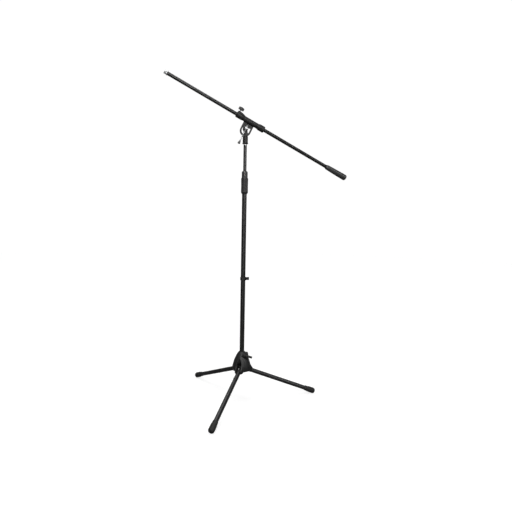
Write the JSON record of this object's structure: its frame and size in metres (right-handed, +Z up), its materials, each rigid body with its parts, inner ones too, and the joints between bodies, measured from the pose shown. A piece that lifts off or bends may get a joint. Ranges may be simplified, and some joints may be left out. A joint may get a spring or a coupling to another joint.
{
  "type": "boom microphone stand",
  "caption": "Folding tripod floor stand whose telescoping column carries a tilting, sliding, counterweighted boom with a threaded tip for a microphone holder.",
  "frame": {"origin": "on the column's axis, at floor level between the three feet", "axes": "+Z up along the column; +X towards leg 1 and the counterweight end of the boom; the tilt lever is on the -Y side"},
  "size_m": [0.8, 0.5996, 1.3784],
  "materials": {
    "black_enamel": "satin black powder coat on steel tube",
    "black_casting": "satin black enamel on die casting",
    "black_plastic": "moulded, fine texture",
    "grip_plastic": "moulded, ribbed",
    "foot_rubber": "matt rubber",
    "chrome": "bright plated",
    "zinc_steel": "zinc plated",
    "nylon": "natural nylon",
    "grey_plastic": "moulded, dark grey"
  },
  "bodies": {
    "hub": {"hub_housing": "black_plastic", "hub_clamp_nut": "zinc_steel", "leg_pivot_pins": "zinc_steel"},
    "hub_knob": {"hub_lock_knob": "black_plastic", "hub_clamp_screw": "zinc_steel"},
    "leg_1": {"leg_tube_1": "black_enamel", "leg_foot_1": "foot_rubber", "leg_knuckle_1": "black_enamel", "leg_rivet_1": "black_enamel"},
    "leg_2": {"leg_tube_2": "black_enamel", "leg_foot_2": "foot_rubber", "leg_knuckle_2": "black_enamel", "leg_rivet_2": "black_enamel"},
    "leg_3": {"leg_tube_3": "black_enamel", "leg_foot_3": "foot_rubber", "leg_knuckle_3": "black_enamel", "leg_rivet_3": "black_enamel"},
    "column": {"lower_tube": "black_enamel", "tube_spider": "black_plastic", "spider_bolt": "zinc_steel", "spider_nut": "zinc_steel", "clutch_body": "black_plastic", "clutch_collet": "nylon", "clutch_collar": "black_plastic"},
    "clutch_sleeve": {"clutch_grip": "grip_plastic"},
    "clip": {"cable_clip": "black_plastic"},
    "height_slider": {"tube_guide_bush": "nylon"},
    "mast": {"upper_tube": "black_enamel", "upper_tube_plug": "black_plastic", "top_adapter": "chrome", "swivel_socket": "black_casting"},
    "boom_clamp": {"boom_holder": "black_casting", "tilt_nut": "zinc_steel", "friction_disc": "foot_rubber", "sleeve_liner_front": "black_plastic", "sleeve_liner_rear": "black_plastic", "lock_pad": "nylon"},
    "tilt_lever": {"tilt_handle": "chrome", "tilt_screw": "zinc_steel", "tilt_washer": "zinc_steel", "lever_cap": "grey_plastic"},
    "boom": {"boom_tube": "black_enamel", "tip_adapter": "chrome", "counterweight_core": "zinc_steel", "counterweight_sleeve": "black_plastic"},
    "boom_knob": {"boom_lock_knob": "black_plastic", "boom_lock_screw": "chrome"}
  },
  "joints": [
    {"name": "leg_1_fold", "type": "hinge", "parent": "hub", "child": "leg_1", "pos_m": [0.03, 0, 0.13235], "axis": [0, -1, 0], "range_deg": [0, 101.6]},
    {"name": "leg_2_fold", "type": "hinge", "parent": "hub", "child": "leg_2", "pos_m": [-0.015, 0.02598, 0.13235], "axis": [0.866, 0.5, 0], "range_deg": [0, 101.6]},
    {"name": "leg_3_fold", "type": "hinge", "parent": "hub", "child": "leg_3", "pos_m": [-0.015, -0.02598, 0.13235], "axis": [-0.866, 0.5, 0], "range_deg": [0, 101.6]},
    {"name": "column_drop", "type": "slide", "parent": "hub", "child": "column", "axis": [0, 0, -1], "range_m": [0, 0.031]},
    {"name": "hub_knob_turn", "type": "hinge", "parent": "hub", "child": "hub_knob", "pos_m": [0.02117, -0.00373, 0.2], "axis": [-0.1736, -0.9848, 0], "range_deg": [0, 540]},
    {"name": "clutch_grip_turn", "type": "hinge", "parent": "column", "child": "clutch_sleeve", "pos_m": [0, 0, 0.93], "axis": [0, 0, 1], "range_deg": [0, 270]},
    {"name": "cable_clip_slide", "type": "slide", "parent": "column", "child": "clip", "axis": [0, 0, 1], "range_m": [-0.27, 0.33]},
    {"name": "height_slide", "type": "slide", "parent": "column", "child": "height_slider", "axis": [0, 0, 1], "range_m": [-0.09, 0.45]},
    {"name": "mast_turn", "type": "hinge", "parent": "height_slider", "child": "mast", "pos_m": [0, 0, 1], "axis": [0, 0, 1], "continuous": true},
    {"name": "boom_tilt", "type": "hinge", "parent": "mast", "child": "boom_clamp", "pos_m": [0, 0, 1.1667], "axis": [0, 1, 0], "range_deg": [-111, 58]},
    {"name": "tilt_lever_turn", "type": "hinge", "parent": "boom_clamp", "child": "tilt_lever", "pos_m": [0, 0, 1.1667], "axis": [0, -1, 0], "range_deg": [-90, 90]},
    {"name": "boom_slide", "type": "slide", "parent": "boom_clamp", "child": "boom", "axis": [-0.8973, 0, 0.4415], "range_m": [-0.29, 0.3]},
    {"name": "boom_knob_turn", "type": "hinge", "parent": "boom_clamp", "child": "boom_knob", "pos_m": [-0.03117, 0, 1.22227], "axis": [0.4415, 0, 0.8973], "range_deg": [0, 540]}
  ],
  "couplings": [
    {"joint": "leg_2_fold", "follows": "leg_1_fold", "ratio": 1},
    {"joint": "leg_3_fold", "follows": "leg_1_fold", "ratio": 1},
    {"joint": "column_drop", "follows": "leg_1_fold", "m_per_rad": 0.017481}
  ]
}
